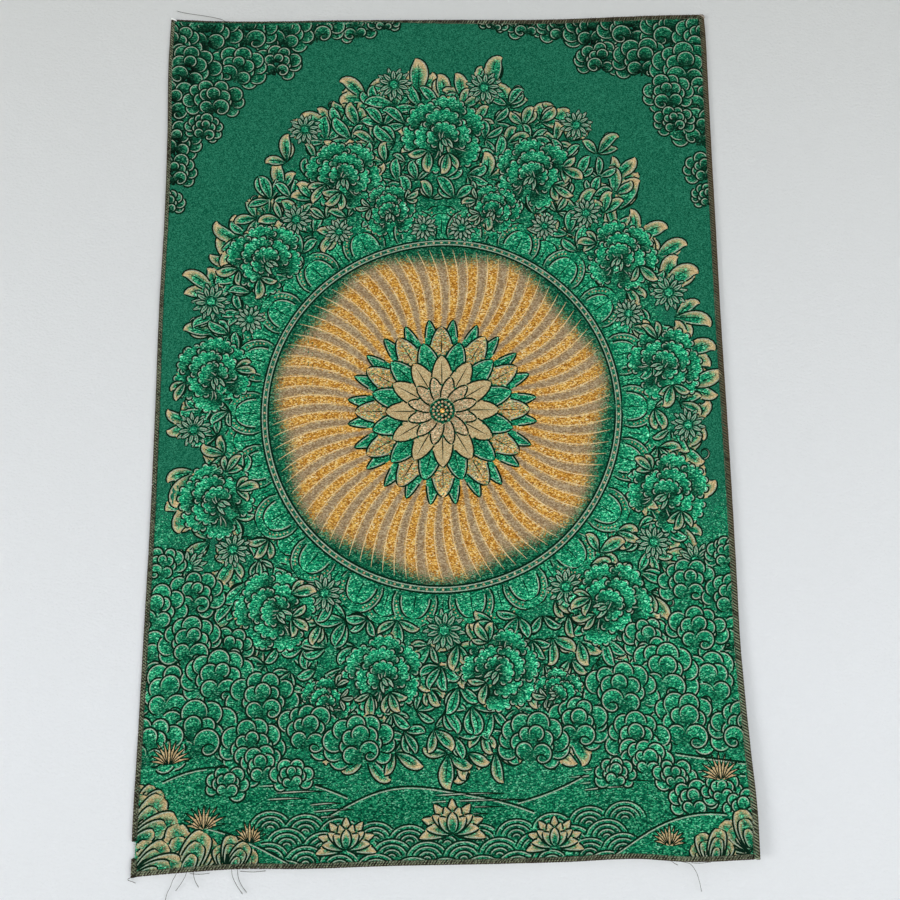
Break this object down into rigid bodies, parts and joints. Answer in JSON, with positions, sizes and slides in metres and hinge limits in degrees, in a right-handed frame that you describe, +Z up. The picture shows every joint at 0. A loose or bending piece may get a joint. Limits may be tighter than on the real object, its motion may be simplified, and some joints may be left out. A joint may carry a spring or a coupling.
{
  "type": "woven thangka panel with wall staples",
  "caption": "Upright brocade thangka panel with overlocked edges and loose thread ends, held flat to a wall by a wire staple through each top corner.",
  "frame": {"origin": "middle of the panel's top edge, in the middle of the cloth's thickness", "axes": "+Z up the panel, +X to the viewer's right, the woven front faces -Y and the wall is at +Y"},
  "size_m": [0.6082, 0.0147, 0.9386],
  "materials": {
    "brocade": "woven, with metallic weft",
    "overlock_thread": "matte spun thread",
    "staple_steel": "bright"
  },
  "bodies": {
    "root": {"cloth": "brocade", "overlock_top": "overlock_thread", "overlock_right": "overlock_thread", "overlock_bottom": "overlock_thread", "overlock_left": "overlock_thread", "overlock_left_end": "overlock_thread", "staple_left": "staple_steel", "staple_right": "staple_steel"}
  },
  "joints": []
}
